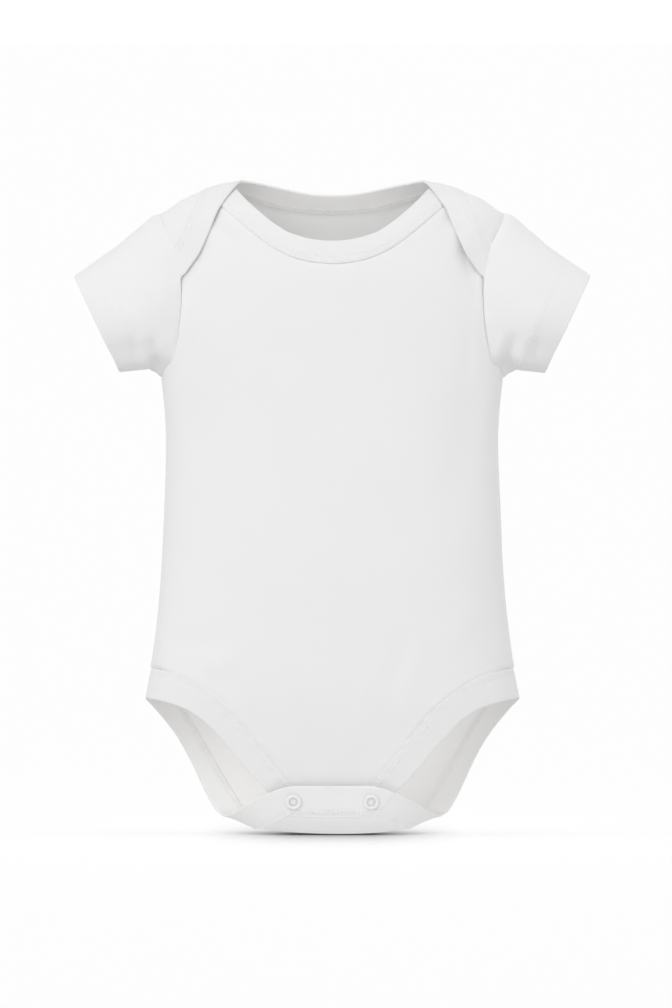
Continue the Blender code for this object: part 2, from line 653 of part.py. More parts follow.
def build_snaps(seats, under, white):
    """Each snap: a cap on the band and a socket under it, and on the front's end a stud and a ring behind it."""
    above, below = BINDING_PROUD + SNAP_CLEARANCE, BINDING_PROUD - BINDING_THICKNESS - SNAP_CLEARANCE
    for side, (place, out) in zip(("right", "left"), seats):
        snap_part("snap_cap_" + side, CAP_PROFILE, place + out * above, out, white)
        snap_part("snap_socket_" + side, SOCKET_PROFILE, place + out * below, -out, white)
        seat, ahead = seat_under(under, place, out)
        snap_part("snap_stud_" + side, STUD_PROFILE, seat + ahead * above, ahead, white)
        snap_part("snap_ring_" + side, BACK_RING_PROFILE, seat + ahead * below, -ahead, white)


def main():
    clear_scene()
    jersey = make_material("white_jersey", WHITE_JERSEY, 0.9)
    binding = make_material("white_binding", WHITE_BINDING, 0.9)
    white = make_material("white_snap", WHITE_SNAP, 0.35)
    build_snaps(*build_cloth(jersey, binding), white)


main()
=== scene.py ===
import math

import bmesh
import bpy
import numpy as np
from mathutils import Matrix, Vector, noise
from mathutils.bvhtree import BVHTree
from mathutils.kdtree import KDTree


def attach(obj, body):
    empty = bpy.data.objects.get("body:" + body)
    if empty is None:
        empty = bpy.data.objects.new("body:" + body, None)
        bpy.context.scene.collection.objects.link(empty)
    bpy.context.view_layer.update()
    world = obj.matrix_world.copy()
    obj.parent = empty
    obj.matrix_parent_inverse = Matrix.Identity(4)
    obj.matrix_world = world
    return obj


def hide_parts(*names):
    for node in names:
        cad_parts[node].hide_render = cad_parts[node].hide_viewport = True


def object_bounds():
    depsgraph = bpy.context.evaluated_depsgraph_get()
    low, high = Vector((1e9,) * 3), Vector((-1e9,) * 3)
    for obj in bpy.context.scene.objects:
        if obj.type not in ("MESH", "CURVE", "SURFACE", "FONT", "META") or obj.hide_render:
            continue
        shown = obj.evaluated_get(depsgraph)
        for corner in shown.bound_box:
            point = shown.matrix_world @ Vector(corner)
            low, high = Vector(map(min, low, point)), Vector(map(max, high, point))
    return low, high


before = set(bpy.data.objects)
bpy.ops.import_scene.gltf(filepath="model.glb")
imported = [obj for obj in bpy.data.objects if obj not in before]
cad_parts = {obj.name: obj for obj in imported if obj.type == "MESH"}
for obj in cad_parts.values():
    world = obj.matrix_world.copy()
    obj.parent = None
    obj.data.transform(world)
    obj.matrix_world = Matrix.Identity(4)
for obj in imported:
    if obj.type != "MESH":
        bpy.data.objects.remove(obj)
solid_low, solid_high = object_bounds()


# ---- camera ----
# A long lens far in front of the garment, which looks very slightly down at its middle. The picture's centre
# lies a little to the right of the garment's centre line.

MM = 0.001
# the picture's size, the size of its pixels at the garment, and the place of the garment's origin in it
IMAGE_WIDTH, IMAGE_HEIGHT = 672, 1008
METRES_PER_PIXEL = 0.62 * MM
CENTRE_LINE_COLUMN, SHOULDER_ROW = 332.3, 180.0
CAMERA_DISTANCE, CAMERA_ELEVATION = 12.0, math.radians(1.5)
FARTHEST_SEEN = 1000.0

camera_data = bpy.data.cameras.new("camera")
camera = bpy.data.objects.new("camera", camera_data)
bpy.context.scene.collection.objects.link(camera)
bpy.context.scene.camera = camera
view_centre = Vector(((IMAGE_WIDTH / 2 - CENTRE_LINE_COLUMN) * METRES_PER_PIXEL, 0.0,
                      (SHOULDER_ROW - IMAGE_HEIGHT / 2) * METRES_PER_PIXEL))
towards_camera = Vector((0, -math.cos(CAMERA_ELEVATION), math.sin(CAMERA_ELEVATION)))
camera.location = view_centre + CAMERA_DISTANCE * towards_camera
camera.rotation_euler = (math.pi / 2 - CAMERA_ELEVATION, 0, 0)
camera_data.clip_end = FARTHEST_SEEN
camera_data.lens = camera_data.sensor_width * CAMERA_DISTANCE / (IMAGE_HEIGHT * METRES_PER_PIXEL)


# ---- studio ----
# A white floor with a soft contact shadow painted into its colour and glow, under a bright, narrow horizon
# and an even sky. A key lamp at the upper left of the front models the cloth, and weaker lamps fill the
# right, light the back and shine down. Small panels stand for light that is thrown about inside the garment
# and thrown back by the floor.

FLOOR_SIZE, FLOOR_ROUGHNESS = 400.0, 0.9
# how strongly the floor glows, to stay white, and how far each place on it looks about for the garment, to
# paint its shadow
FLOOR_GLOW = 0.352
FLOOR_REACH, FLOOR_RAYS = 0.2, 8
# the open share of what a place on the floor sees, and the depth of the contact shadow painted there
FLOOR_PAINTED_SHADOW = [(0.0, 1.0), (0.56, 0.46), (0.68, 0.27), (0.8, 0.11), (0.9, 0.035), (1.0, 0.0)]
# two distances sideways from the garment's centre line, and the share of the painted shadow that is left at
# each
PAINTED_SHADOW_FADE = (0.025, 0.082, 1.0, 0.05)
# height in the sky, from -1 straight down to 1 straight up, and its brightness there
SKY = [(-1.0, 0.64), (-0.5, 0.63), (-0.02, 0.78), (0.0, 1.12), (0.05, 1.12), (0.2, 0.58), (1.0, 0.58)]
# degrees round from the front towards +X, degrees up, degrees across and strength of each broad lamp, and
# whether it falls on the floor too
LAMPS = {
    "key_lamp": (-30, 36, 50, 0.98, False),
    "fill_lamp": (66, 8, 60, 0.25, False),
    "back_lamp": (160, 24, 60, 0.6, False),
    "overhead": (0, 85, 100, 0.14, True),
}
# width, length, middle, degrees tipped up from straight down, degrees round and power of each soft panel
PANELS = {
    "panel_to_front": (0.15, 0.3, (0, 0, -0.23), 90, 180, 0.036),
    "panel_to_back": (0.15, 0.3, (0, 0, -0.236), 90, 0, 0.0425),
    "panel_to_neck": (0.09, 0.01, (0, 0, -0.03), 170, 0, 0.0023),
    "floor_bounce": (0.3, 0.2, (0, -0.03, -0.47), 180, 0, 0.034),
}
PANEL_WARMTH = (1.0, 0.98, 0.94)


def node(tree, kind, **settings):
    """A new node of a material or of the sky, with its settings."""
    made = tree.nodes.new(kind)
    for name, value in settings.items():
        setattr(made, name, value)
    return made


def calculate(tree, operation, *values):
    """A Math node; a value is a number or another node's output."""
    made = node(tree, "ShaderNodeMath", operation=operation)
    for socket, value in zip(made.inputs, values):
        if isinstance(value, (int, float)):
            socket.default_value = value
        else:
            tree.links.new(value, socket)
    return made.outputs[0]


def level_ramp(tree, value, stops):
    """A grey that follows a value between 0 and 1 through stops of position and level."""
    ramp = node(tree, "ShaderNodeValToRGB")
    while len(ramp.color_ramp.elements) < len(stops):
        ramp.color_ramp.elements.new(position=0.5)
    for stop, (position, level) in zip(ramp.color_ramp.elements, stops):
        stop.position = position
        stop.color = (level, level, level, 1.0)
    tree.links.new(value, ramp.inputs[0])
    return ramp.outputs[0]


bpy.context.scene.view_settings.view_transform = "Standard"
world = bpy.data.worlds.new("white_studio")
world.use_nodes = True
sky = world.node_tree
direction = node(sky, "ShaderNodeTexCoord")
direction_parts = node(sky, "ShaderNodeSeparateXYZ")
sky.links.new(direction.outputs["Generated"], direction_parts.inputs[0])
height_share = calculate(sky, "MULTIPLY_ADD", direction_parts.outputs["Z"], 0.5, 0.5)
brightness = level_ramp(sky, height_share, [((sky_height + 1) / 2, level) for sky_height, level in SKY])
sky.links.new(brightness, sky.nodes["Background"].inputs["Color"])
bpy.context.scene.world = world

bpy.ops.object.select_all(action="DESELECT")
bpy.ops.mesh.primitive_plane_add(size=FLOOR_SIZE, location=(0, 0, solid_low.z))
floor = bpy.context.object
floor.name = "floor"
floor.visible_diffuse = floor.visible_shadow = False
bpy.ops.object.transform_apply(location=True, rotation=False, scale=True)
floor_material = bpy.data.materials.new("floor_white")
floor_material.use_nodes = True
tree = floor_material.node_tree
floor_shader = tree.nodes["Principled BSDF"]
floor_shader.inputs["Roughness"].default_value = FLOOR_ROUGHNESS
floor_shader.inputs["Specular IOR Level"].default_value = 0.0
floor_shader.inputs["Emission Strength"].default_value = FLOOR_GLOW
openness = node(tree, "ShaderNodeAmbientOcclusion", samples=FLOOR_RAYS)
openness.inputs["Distance"].default_value = FLOOR_REACH
floor_place = node(tree, "ShaderNodeTexCoord")
floor_parts = node(tree, "ShaderNodeSeparateXYZ")
tree.links.new(floor_place.outputs["Object"], floor_parts.inputs[0])
fade = node(tree, "ShaderNodeMapRange")
for name, value in zip(("From Min", "From Max", "To Min", "To Max"), PAINTED_SHADOW_FADE):
    fade.inputs[name].default_value = value
tree.links.new(calculate(tree, "ABSOLUTE", floor_parts.outputs["X"]), fade.inputs["Value"])
# the contact shadow is painted into the floor's colour and glow: darker where less is open round it, fading
# sideways
painted_shadow = calculate(tree, "MULTIPLY", level_ramp(tree, openness.outputs["AO"], FLOOR_PAINTED_SHADOW), fade.outputs[0])
floor_white_and_painted_shadow = calculate(tree, "SUBTRACT", 1.0, painted_shadow)
for socket_name in ("Base Color", "Emission Color"):
    tree.links.new(floor_white_and_painted_shadow, floor_shader.inputs[socket_name])
floor.data.materials.append(floor_material)

floor_alone = bpy.data.collections.new("floor_alone")
floor_alone.objects.link(floor)
floor_alone.collection_objects[0].light_linking.link_state = "EXCLUDE"
for lamp_name, (around, up, across, strength, on_floor) in LAMPS.items():
    lamp_data = bpy.data.lights.new(lamp_name, "SUN")
    lamp_data.energy = strength
    lamp_data.angle = math.radians(across)
    lamp = bpy.data.objects.new(lamp_name, lamp_data)
    bpy.context.scene.collection.objects.link(lamp)
    lamp.rotation_euler = (math.radians(90 - up), 0, math.radians(around))
    if not on_floor:
        lamp.light_linking.receiver_collection = floor_alone
for panel_name, (panel_width, panel_length, middle, tip, around, power) in PANELS.items():
    panel_data = bpy.data.lights.new(panel_name, "AREA")
    panel_data.shape = "RECTANGLE"
    panel_data.size, panel_data.size_y = panel_width, panel_length
    panel_data.energy = power
    panel_data.color = PANEL_WARMTH
    panel = bpy.data.objects.new(panel_name, panel_data)
    bpy.context.scene.collection.objects.link(panel)
    panel.visible_camera = False
    panel.location = middle
    panel.rotation_euler = (math.radians(tip), 0, math.radians(around))
    panel.light_linking.receiver_collection = floor_alone


# ---- jersey ----
# Fine white cotton interlock: rows of tiny loops that run up each piece, matt, with a faint fuzz of fibres.
# The bindings are of the same yarn, knitted a little finer.

# width of a wale, height of a course, and the share of them that the bindings have
WALE, COURSE, BINDING_FINENESS = 0.78 * MM, 0.7 * MM, 0.9
JERSEY_WHITE, BINDING_WHITE = (0.93, 0.93, 0.932), (0.925, 0.925, 0.925)
JERSEY_ROUGHNESS, JERSEY_SHINE = 0.92, 0.15
JERSEY_SHEEN, SHEEN_ROUGHNESS = 0.15, 0.6
# depth of the knit, and how much the loops show beside the wales
KNIT_DEPTH, LOOP_SHARE = 0.06 * MM, 0.16
FUZZ_SCALE, FUZZ_DETAIL, FUZZ_DEPTH = 900.0, 3.0, 0.03 * MM
# the white is faintly uneven, between these two shares of it
TINT_SCALE, TINT_DETAIL, DARKEST_TINT, LIGHTEST_TINT = 14.0, 2.0, 0.985, 1.01


def knit_material(name, white, fineness):
    """Matt knitted cotton: loops in V shapes along the wales, and a fuzz of fibres over them."""
    material = bpy.data.materials.new(name)
    material.use_nodes = True
    tree = material.node_tree
    shader = tree.nodes["Principled BSDF"]
    shader.inputs["Roughness"].default_value = JERSEY_ROUGHNESS
    shader.inputs["Specular IOR Level"].default_value = JERSEY_SHINE
    shader.inputs["Sheen Weight"].default_value = JERSEY_SHEEN
    shader.inputs["Sheen Roughness"].default_value = SHEEN_ROUGHNESS
    flat = node(tree, "ShaderNodeUVMap", uv_map="cut")
    parts = node(tree, "ShaderNodeSeparateXYZ")
    tree.links.new(flat.outputs[0], parts.inputs[0])
    across = calculate(tree, "MULTIPLY", parts.outputs[0], 1 / (WALE * fineness))
    upward = calculate(tree, "MULTIPLY", parts.outputs[1], 1 / (COURSE * fineness))
    leg = calculate(tree, "PINGPONG", across, 0.5)
    rib = calculate(tree, "SINE", calculate(tree, "MULTIPLY", leg, math.tau))
    slanted = calculate(tree, "ADD", upward, leg)
    loop = calculate(tree, "SINE", calculate(tree, "MULTIPLY", slanted, math.tau))
    knit = calculate(tree, "MULTIPLY_ADD", loop, LOOP_SHARE, rib)
    where = node(tree, "ShaderNodeTexCoord")
    fuzz = node(tree, "ShaderNodeTexNoise")
    fuzz.inputs["Scale"].default_value = FUZZ_SCALE
    fuzz.inputs["Detail"].default_value = FUZZ_DETAIL
    tree.links.new(where.outputs["Object"], fuzz.inputs["Vector"])
    fuzz_bump = node(tree, "ShaderNodeBump")
    fuzz_bump.inputs["Distance"].default_value = FUZZ_DEPTH
    tree.links.new(fuzz.outputs[0], fuzz_bump.inputs["Height"])
    knit_bump = node(tree, "ShaderNodeBump")
    knit_bump.inputs["Distance"].default_value = KNIT_DEPTH
    tree.links.new(knit, knit_bump.inputs["Height"])
    tree.links.new(fuzz_bump.outputs[0], knit_bump.inputs["Normal"])
    tree.links.new(knit_bump.outputs[0], shader.inputs["Normal"])
    tint = node(tree, "ShaderNodeTexNoise")
    tint.inputs["Scale"].default_value = TINT_SCALE
    tint.inputs["Detail"].default_value = TINT_DETAIL
    tree.links.new(where.outputs["Object"], tint.inputs["Vector"])
    shade = node(tree, "ShaderNodeMapRange")
    shade.inputs["To Min"].default_value = DARKEST_TINT
    shade.inputs["To Max"].default_value = LIGHTEST_TINT
    tree.links.new(tint.outputs[0], shade.inputs["Value"])
    colour = node(tree, "ShaderNodeVectorMath", operation="SCALE")
    colour.inputs[0].default_value = white
    tree.links.new(shade.outputs[0], colour.inputs["Scale"])
    tree.links.new(colour.outputs[0], shader.inputs["Base Color"])
    return material


jersey = knit_material("white_jersey", JERSEY_WHITE, 1.0)
fine_jersey = knit_material("white_binding", BINDING_WHITE, BINDING_FINENESS)


# ---- front and back ----
# The two body panels, each a single layer of jersey, sewn together at the sides and to the sleeves. They lie
# as a filled-out garment does: nearly smooth, with shallow folds that start at armholes, laps and legs.

OUTER, INNER, RIM = 0, 1, 2
CLOTH_LEVELS, BINDING_LEVELS = 2, 3
MERGE_DISTANCE, ISLAND_MARGIN = 0.02 * MM, 0.001
# the angles from which an edge parts a face of the wall from its rim, is a corner of the rim, and is sharp
RIM_ANGLE, CORNER_ANGLE, SHARP_ANGLE = math.radians(48), math.radians(12), math.radians(50)
# an edge this near to another piece is sewn to it and crisp, and any other is folded and softer
SEWN_REACH, SEWN_CREASE, FOLDED_CREASE = 0.9 * MM, 1.0, 0.62
# how far apart sewn edges may be and still be drawn shut, in general and at an armhole
DRAW_REACH, ARMHOLE_REACH = 0.7 * MM, 2.4 * MM
# half the gap that is left, and the share of the way to the other piece that may lead out of the cloth
SHUT_GAP, OUT_OF_LEVEL = 0.005 * MM, 0.7
# a fold fades out a little past the ends of its run, and towards the sides of the face that it lies on
FOLD_RUN, FOLD_SIDE = 1.25, 6 * MM
# the heart of the body, neck and legs hangs down the garment's middle, between these heights
HEART_TOP, HEART_BOTTOM, HEART_WIDTH_SHARE = -0.06, -0.34, 0.5
SMALLEST_LENGTH = 1e-9

solid_trees = {}
for solid_name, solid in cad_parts.items():
    corners = [v.co.copy() for v in solid.data.vertices]
    solid_trees[solid_name] = BVHTree.FromPolygons(corners, [p.vertices[:] for p in solid.data.polygons])


def select_only(piece):
    bpy.ops.object.select_all(action="DESELECT")
    piece.select_set(True)
    bpy.context.view_layer.objects.active = piece


def islands_of(mesh):
    """The faces of a bmesh in groups that its seams part, the largest first."""
    groups, seen = [], set()
    for start in mesh.faces:
        if start in seen:
            continue
        group, reached = [], [start]
        seen.add(start)
        while reached:
            face = reached.pop()
            group.append(face)
            for edge in face.edges:
                if not edge.seam:
                    for other in edge.link_faces:
                        if other not in seen:
                            seen.add(other)
                            reached.append(other)
        groups.append(group)
    return sorted(groups, key=lambda group: -sum(face.calc_area() for face in group))


def body_heart(point):
    """A place inside the garment that a point of the body, the neck or the legs faces away from."""
    return Vector((HEART_WIDTH_SHARE * point.x, 0.0, min(HEART_TOP, max(HEART_BOTTOM, point.z))))


def cloth_wall(solid_name, heart, grain, cut_line=None, levels=CLOTH_LEVELS):
    """A fine closed wall over one solid, crisp where it is sewn and soft where its edge is folded.

    The solid's triangles are paired into squares again. Every face gets its side of the wall, seen from the
    heart, and a place in the flat cut, in metres, with the grain upwards. cut_line picks the edges where a
    tube is cut open.
    """
    name = "cloth_" + solid_name
    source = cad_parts[solid_name].data
    data = bpy.data.meshes.new(name)
    data.from_pydata([v.co for v in source.vertices], [], [p.vertices[:] for p in source.polygons])
    piece = bpy.data.objects.new(name, data)
    bpy.context.scene.collection.objects.link(piece)
    select_only(piece)
    bpy.ops.object.mode_set(mode="EDIT")
    bpy.ops.mesh.select_all(action="SELECT")
    bpy.ops.mesh.remove_doubles(threshold=MERGE_DISTANCE)
    bpy.ops.mesh.tris_convert_to_quads(face_threshold=math.pi, shape_threshold=math.pi)
    bpy.ops.object.mode_set(mode="OBJECT")

    mesh = bmesh.new()
    mesh.from_mesh(data)
    crease = mesh.edges.layers.float.new("crease_edge")
    side_layer = mesh.faces.layers.int.new("side")
    neighbours = [tree for other, tree in solid_trees.items() if other != solid_name]
    for edge in mesh.edges:
        if edge.calc_face_angle() > RIM_ANGLE:
            middle = (edge.verts[0].co + edge.verts[1].co) / 2
            sewn = any(tree.find_nearest(middle, SEWN_REACH)[0] for tree in neighbours)
            edge[crease] = SEWN_CREASE if sewn else FOLDED_CREASE
            edge.seam = True
    islands = islands_of(mesh)
    for rank, island in enumerate(islands):
        facing = sum((f.calc_center_median() - heart(f.calc_center_median())).dot(f.normal) for f in island)
        for face in island:
            face[side_layer] = RIM if rank > 1 else OUTER if facing > 0 else INNER
    for edge in mesh.edges:
        on_rim = all(face[side_layer] == RIM for face in edge.link_faces)
        beside = [linked[crease] for vertex in edge.verts for linked in vertex.link_edges if linked.seam]
        if on_rim and beside and edge.calc_face_angle() > CORNER_ANGLE:
            edge[crease] = max(edge[crease], min(beside))
    if cut_line:
        for edge in mesh.edges:
            if all(cut_line(v.co) for v in edge.verts):
                edge.seam = True
    island_of = {face.index: rank for rank, island in enumerate(islands_of(mesh)) for face in island}
    mesh.to_mesh(data)
    mesh.free()

    bpy.ops.object.mode_set(mode="EDIT")
    bpy.ops.mesh.select_all(action="SELECT")
    data.uv_layers.new(name="cut")
    bpy.ops.uv.unwrap(method="ANGLE_BASED", margin=ISLAND_MARGIN)
    bpy.ops.object.mode_set(mode="OBJECT")
    lay_flat(data, island_of, grain)

    fine = piece.modifiers.new("fine", "SUBSURF")
    fine.levels = fine.render_levels = levels
    bpy.ops.object.modifier_apply(modifier="fine")
    bpy.ops.object.shade_smooth_by_angle(angle=SHARP_ANGLE)
    return piece


def lay_flat(data, island_of, grain):
    """Scales and turns each island of the flat cut to metres, with the grain upwards."""
    layer = data.uv_layers["cut"]
    flat = np.empty(len(data.loops) * 2)
    layer.uv.foreach_get("vector", flat)
    flat = flat.reshape(-1, 2)
    points = np.array([v.co for v in data.vertices])
    height = np.array([grain(v.co) for v in data.vertices])
    loop_point = np.array([loop.vertex_index for loop in data.loops])
    groups = {}
    for polygon in data.polygons:
        groups.setdefault(island_of[polygon.index], []).append(polygon)
    for polygons in groups.values():
        first = np.concatenate([np.array(p.loop_indices) for p in polygons])
        second = np.concatenate([np.roll(np.array(p.loop_indices), -1) for p in polygons])
        real = np.linalg.norm(points[loop_point[first]] - points[loop_point[second]], axis=1).sum()
        drawn = np.linalg.norm(flat[first] - flat[second], axis=1).sum()
        scale = real / max(drawn, SMALLEST_LENGTH)
        corners = np.column_stack([flat[first], np.ones(len(first))])
        (rise_u, rise_v, _), *_ = np.linalg.lstsq(corners, height[loop_point[first]], rcond=None)
        steep = math.hypot(rise_u, rise_v) or 1.0
        turn = np.array([[rise_v, rise_u], [-rise_u, rise_v]]) / steep * scale
        flat[first] = flat[first] @ turn
    layer.uv.foreach_set("vector", flat.ravel())


def sides_of(piece):
    """The side of the wall that each face belongs to."""
    sides = np.empty(len(piece.data.polygons), dtype=np.int32)
    piece.data.attributes["side"].data.foreach_get("value", sides)
    return sides


def points_of(piece):
    """The places of a mesh's points, one row each."""
    points = np.empty(len(piece.data.vertices) * 3)
    piece.data.vertices.foreach_get("co", points)
    return points.reshape(-1, 3)


def outward_of(piece):
    """The direction out of the garment at every point of a wall, the same through its thickness."""
    normals = np.empty(len(piece.data.vertices) * 3)
    piece.data.vertices.foreach_get("normal", normals)
    normals = normals.reshape(-1, 3)
    points = points_of(piece)
    sides = sides_of(piece)
    outer, other = set(), set()
    for polygon, side in zip(piece.data.polygons, sides):
        (outer if side == OUTER else other).update(polygon.vertices)
    face = KDTree(len(outer - other))
    for index in sorted(outer - other):
        face.insert(points[index], index)
    face.balance()
    directions = normals.copy()
    for index in sorted(other):
        directions[index] = normals[face.find(points[index])[1]]
    return directions


def drawn_shut(piece, points, outward, solid_name):
    """How far each point at a sewn edge is pulled along the cloth towards the piece it is sewn to."""
    pull = np.zeros_like(points)
    rim = {corner for polygon, side in zip(piece.data.polygons, sides_of(piece)) if side == RIM
           for corner in polygon.vertices}
    for other, tree in cut_trees.items():
        if other == solid_name:
            continue
        armhole = (other in SLEEVES) != (solid_name in SLEEVES)
        for index, point in enumerate(points):
            place = Vector(point)
            reach = ARMHOLE_REACH if armhole and index in rim else DRAW_REACH
            nearest, _, _, gap = tree.find_nearest(place, reach)
            if nearest is None or gap < 2 * SHUT_GAP:
                continue
            towards = (nearest - place) / gap
            if abs(towards.dot(Vector(outward[index]))) < OUT_OF_LEVEL:
                pull[index] = towards * (gap / 2 - SHUT_GAP)
    return pull


def shape_cloth(piece, solid_name, lifts):
    """Draws the sewn edges shut, and moves every point of a wall out by the sum of the lifts there."""
    points, outward = points_of(piece), outward_of(piece)
    moved = points + drawn_shut(piece, points, outward, solid_name)
    moved += outward * sum(lift(points) for lift in lifts)[:, None]
    piece.data.vertices.foreach_set("co", moved.ravel())
    piece.data.update()


def eased(share):
    """A share between 0 and 1 that starts and ends gently."""
    return share * share * (3 - 2 * share)


def folds(table, facing):
    """Soft folds on one face of the garment, from a table in millimetres.

    Each has its start x and drop, its end x and drop, its half width, and its height, below 0 for a trough.
    """
    def lift(points):
        total = np.zeros(len(points))
        for start_x, start_drop, end_x, end_drop, half_width, height in table:
            run = np.array([end_x - start_x, start_drop - end_drop]) * MM
            length = np.linalg.norm(run)
            offset = points[:, [0, 2]] - np.array([start_x, -start_drop]) * MM
            along = offset @ run / length ** 2
            aside = np.linalg.norm(offset - np.clip(along, 0, 1)[:, None] * run, axis=1)
            left = eased(np.clip(FOLD_RUN - np.abs(along - 0.5) * 2, 0, 1))
            total += height * MM * np.exp(-(aside / (half_width * MM)) ** 2) * left
        shown = np.clip((points[:, 1] * facing + FOLD_SIDE) / (2 * FOLD_SIDE), 0, 1)
        return total * eased(shown)
    return lift


def waviness(height, spacing, seed):
    """A faint unevenness all over, wider than it is high, as hung cloth has; another one for each seed."""
    def lift(points):
        shift = Vector((seed, seed * 0.7, seed * 1.3))
        return np.array([noise.noise(Vector(p) / spacing + shift) for p in points]) * height
    return lift


def along_seam(others, profile, pucker=0.0, pucker_spacing=6 * MM, pucker_reach=7 * MM):
    """A lift that depends on the distance from other pieces, with small puckers beside them.

    The profile is a list of distances and heights in millimetres.
    """
    trees = [cut_trees[other] for other in others]
    distances, heights = zip(*profile)

    def lift(points):
        total = np.zeros(len(points))
        for index, point in enumerate(points):
            nearest = min((tree.find_nearest(Vector(point)) for tree in trees), key=lambda found: found[3])
            total[index] = np.interp(nearest[3] / MM, distances, heights) * MM
            if pucker:
                total[index] += (pucker * noise.noise(nearest[0] / pucker_spacing)
                                 * math.exp(-(nearest[3] / pucker_reach) ** 2))
        return total
    return lift


def finish_cloth(piece, solid_name, material):
    """Gives a cloth piece its material, hangs it on the root body, and lets it stand for its solid."""
    piece.data.materials.append(material)
    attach(piece, "root")
    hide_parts(solid_name)


# start x, start drop, end x, end drop, half width, height, in millimetres
FRONT_FOLDS = [
    (-88, 128, -87, 172, 9, -0.9),
    (-97, 122, -80, 210, 7, 0.5),
    (84, 104, 80, 215, 11, -1.1),
    (95, 124, 92, 190, 7, 0.5),
    (79, 38, 88, 62, 4.5, -2.0),
    (71, 21, 73, 30, 3, -0.8),
    (-71, 28, -57, 41, 5, -0.8),
    (-71, 14, -75, 28, 3, -0.7),
    (-78, 40, -86, 54, 4, -0.1),
    (-91, 66, -89, 116, 3.5, 0.5),
    (-86, 88, -86, 126, 4, -0.6),
    (90, 66, 89, 112, 3.5, 0.4),
    (85, 90, 84, 126, 4, -0.5),
    (-84, 60, -70, 96, 8, -0.5),
    (-80, 303, -55, 293, 7, 0.9),
    (-100, 292, -70, 280, 9, -0.7),
    (46, 282, 36, 318, 7, -0.9),
    (56, 276, 48, 312, 7, 0.6),
    (92, 262, 70, 288, 9, 0.6),
    (-20, 318, -8, 362, 9, -0.5),
    (14, 326, 8, 364, 8, 0.5),
    (-34, 338, -22, 364, 6, 0.5),
]
# the laps' edges, where they stand off the front
LAP_FOLDS = [
    (-70, 13, -75, 29, 5, 0.75),
    (-79, 40, -84, 50, 5, 0.1),
    (69, 12, 72, 24, 4, 0.7),
    (76, 34, 84, 48, 6, 0.7),
]
BACK_FOLDS = [
    (-88, 122, -80, 190, 9, -1.5),
    (-97, 116, -88, 170, 6, 0.7),
    (88, 116, 78, 206, 10, -1.6),
    (97, 120, 90, 160, 6, 0.6),
    (-60, 60, -34, 104, 9, -1.1),
    (62, 56, 38, 98, 9, 0.9),
    (-72, 258, -18, 276, 9, -1.5),
    (76, 252, 22, 272, 10, -1.4),
    (-60, 284, -10, 300, 8, 1.1),
    (66, 286, 14, 303, 8, 1.2),
    (-46, 314, -30, 366, 8, -1.2),
    (42, 318, 28, 370, 8, -1.1),
    (-6, 330, 2, 384, 8, 0.9),
]
# distance from the seam and height, in millimetres
ARMHOLE_RIDGE = [(0, -0.36), (0.5, -0.05), (1.2, 0.45), (3.0, 0.45), (4.8, 0.05), (7, 0)]
SIDE_SEAM_GROOVE = [(0, -0.1), (1.0, 0.02), (2.5, 0.2), (5.5, 0.2), (7.0, 0.06), (8.5, -0.16), (10.5, 0.0)]
BINDING_GROOVE = [(0, -0.55), (1.0, -0.12), (2.6, 0.16), (6, 0)]
SLEEVES = ("sleeve_left", "sleeve_right")
LEG_BINDINGS = ("leg_binding_left", "leg_binding_right")
BINDINGS = ("neck_binding_front", "neck_binding_back", *LEG_BINDINGS, "flap_band", "front_end_band")

# the middle line of a sleeve: where it starts, and how far it falls for each metre outwards
SLEEVE_ROOT_X, SLEEVE_ROOT_Z, SLEEVE_FALL = 0.1, -0.075, 0.31
# a point of the plane that the cuff lies in, and the direction out through it
CUFF_X, CUFF_Z = 0.1463, -0.0895
SLEEVE_RUN = Vector((0.906, 0.0, -0.424))
UNDERARM_REACH = 0.3 * MM


def up_the_body(point):
    """The grain of the body and the bindings, which rises with the garment."""
    return point.z


def sleeve_heart(point):
    """The place on a sleeve's middle line that a point of the sleeve faces away from."""
    return Vector((point.x, 0.0, SLEEVE_ROOT_Z - SLEEVE_FALL * (abs(point.x) - SLEEVE_ROOT_X)))


def past_cuff(point):
    """How far a point lies from the plane of the cuff, back up the sleeve."""
    return -SLEEVE_RUN.dot(Vector((abs(point[0]) - CUFF_X, 0.0, point[2] - CUFF_Z)))


def under_the_arm(point):
    """Whether a point lies on the line of the underarm seam."""
    return abs(point.y) < UNDERARM_REACH and point.z < sleeve_heart(point).z


# every piece is cut out before any is shaped, because each is drawn to its neighbours' edges
cut_pieces = {name: cloth_wall(name, body_heart, up_the_body) for name in ("front", "back")}
for solid_name in BINDINGS:
    cut_pieces[solid_name] = cloth_wall(solid_name, body_heart, up_the_body, levels=BINDING_LEVELS)
for solid_name in SLEEVES:
    cut_pieces[solid_name] = cloth_wall(solid_name, sleeve_heart, past_cuff, cut_line=under_the_arm)
cut_trees = {}
for solid_name, piece in cut_pieces.items():
    corners = [v.co.copy() for v in piece.data.vertices]
    cut_trees[solid_name] = BVHTree.FromPolygons(corners, [p.vertices[:] for p in piece.data.polygons])

front = cut_pieces["front"]
shape_cloth(front, "front", [
    folds(FRONT_FOLDS, facing=-1),
    waviness(height=0.8 * MM, spacing=62 * MM, seed=3.0),
    along_seam(SLEEVES, ARMHOLE_RIDGE),
    along_seam(["back"], SIDE_SEAM_GROOVE),
    along_seam(["neck_binding_front", *LEG_BINDINGS], BINDING_GROOVE, pucker=0.3 * MM),
])
finish_cloth(front, "front", jersey)

